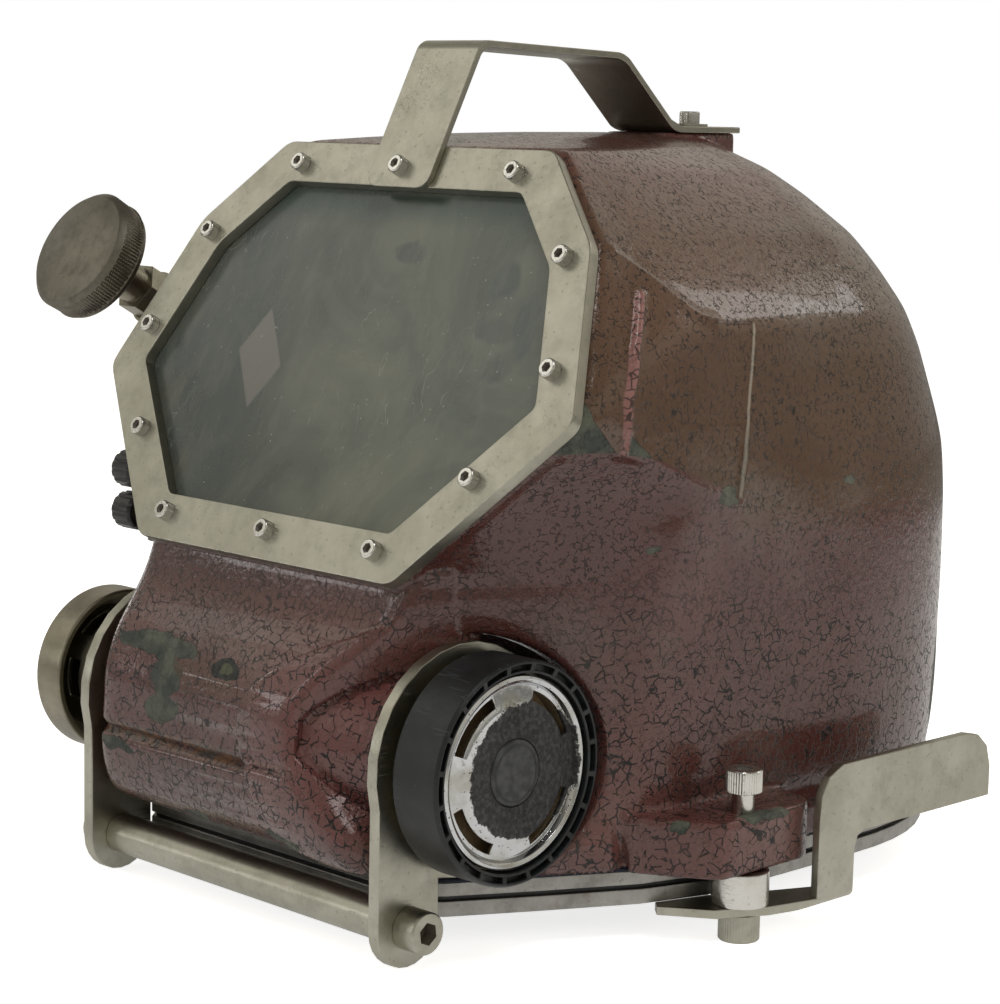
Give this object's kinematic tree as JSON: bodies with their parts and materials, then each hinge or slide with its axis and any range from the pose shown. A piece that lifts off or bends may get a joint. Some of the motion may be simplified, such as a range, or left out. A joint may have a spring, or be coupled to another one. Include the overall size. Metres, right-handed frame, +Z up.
{
  "type": "diving helmet",
  "caption": "Moulded diving helmet with a bolted faceplate, side demand regulator, exhaust, air valve, carry handle and latched neck ring.",
  "frame": {"origin": "on the plane of symmetry of the shell, at the height of the surface that the helmet stands on, 3 mm in front of the line between the two latch pivots", "axes": "+Z up, -Y towards the wearer's front (the faceplate), +X towards the demand regulator"},
  "size_m": [0.402, 0.39, 0.3806],
  "materials": {
    "shell_paint": "glossy maroon hammered paint over moulded glass-fibre, crazed and chipped",
    "stainless": "satin stainless steel, worn",
    "bright_steel": "bright turned steel",
    "chrome": "worn chrome plate",
    "satin_brass": "dull brass",
    "nickel": "satin nickel plate",
    "knob_metal": "mottled bead-blasted metal",
    "black_rubber": "matt black rubber",
    "silicone": "amber silicone rubber",
    "lens": "clear, scuffed and smeared",
    "black_plastic": "black moulded plastic",
    "pad_cloth": "dark knitted cover over foam"
  },
  "bodies": {
    "helmet": {"shell": "shell_paint", "port_gasket": "black_rubber", "port_lens": "lens", "port_retainer": "stainless", "port_screws": "stainless", "carry_handle": "stainless", "handle_washer": "stainless", "handle_screw": "stainless", "guard_plate_left": "stainless", "guard_plate_right": "stainless", "guard_bar": "stainless", "guard_bolts": "stainless", "regulator_body": "nickel", "regulator_nut": "satin_brass", "demand_valve": "satin_brass", "diaphragm": "silicone", "regulator_cover": "chrome", "regulator_bumper": "black_rubber", "exhaust_body": "nickel", "exhaust_nut": "satin_brass", "exhaust_cup": "nickel", "exhaust_set_screw": "stainless", "valve_body": "nickel", "valve_bonnet": "nickel", "valve_nut": "satin_brass", "inlet_adapter": "satin_brass", "air_pipe": "satin_brass", "defog_tube": "nickel", "upper_ring": "stainless", "ring_seal": "black_rubber", "lower_ring": "stainless", "upper_ring_screws": "stainless", "lower_ring_screws": "stainless", "latch_bushes": "bright_steel", "latch_bolts": "stainless", "latch_screws": "bright_steel", "terminal_studs": "satin_brass", "terminal_knobs": "black_plastic", "oral_nasal_mask": "black_rubber", "microphone": "black_plastic", "earphones": "black_plastic", "crown_pad": "pad_cloth", "rear_pad": "pad_cloth"},
    "purge": {"purge_button": "black_rubber"},
    "demand_arm": {"demand_lever": "nickel"},
    "exhaust_flap": {"exhaust_valve": "black_rubber"},
    "valve_control": {"valve_stem": "stainless", "valve_knob": "knob_metal"},
    "latch_right": {"latch_lever_right": "stainless"},
    "latch_left": {"latch_lever_left": "stainless"}
  },
  "joints": [
    {"name": "purge_press", "type": "slide", "parent": "helmet", "child": "purge", "axis": [-1, 0, 0], "range_m": [0, 0.003], "stiffness_N_per_m": 900},
    {"name": "demand_lever_tilt", "type": "hinge", "parent": "helmet", "child": "demand_arm", "pos_m": [0.109, -0.1, 0.0827], "axis": [0, -1, 0], "range_deg": [0, 9]},
    {"name": "exhaust_lift", "type": "slide", "parent": "helmet", "child": "exhaust_flap", "axis": [-1, 0, 0], "range_m": [0, 0.003], "stiffness_N_per_m": 60},
    {"name": "air_valve_turn", "type": "hinge", "parent": "helmet", "child": "valve_control", "pos_m": [-0.188, -0.087, 0.28], "axis": [0, -0.8746, 0.4848], "range_deg": [0, 900]},
    {"name": "latch_right_swing", "type": "hinge", "parent": "helmet", "child": "latch_right", "pos_m": [0.1645, 0.003, 0.014], "axis": [0, 0, 1], "range_deg": [-120, 0]},
    {"name": "latch_left_swing", "type": "hinge", "parent": "helmet", "child": "latch_left", "pos_m": [-0.1645, 0.003, 0.014], "axis": [0, 0, 1], "range_deg": [0, 120]}
  ],
  "couplings": [
    {"joint": "demand_lever_tilt", "follows": "purge_press", "rad_per_m": 43.5}
  ]
}
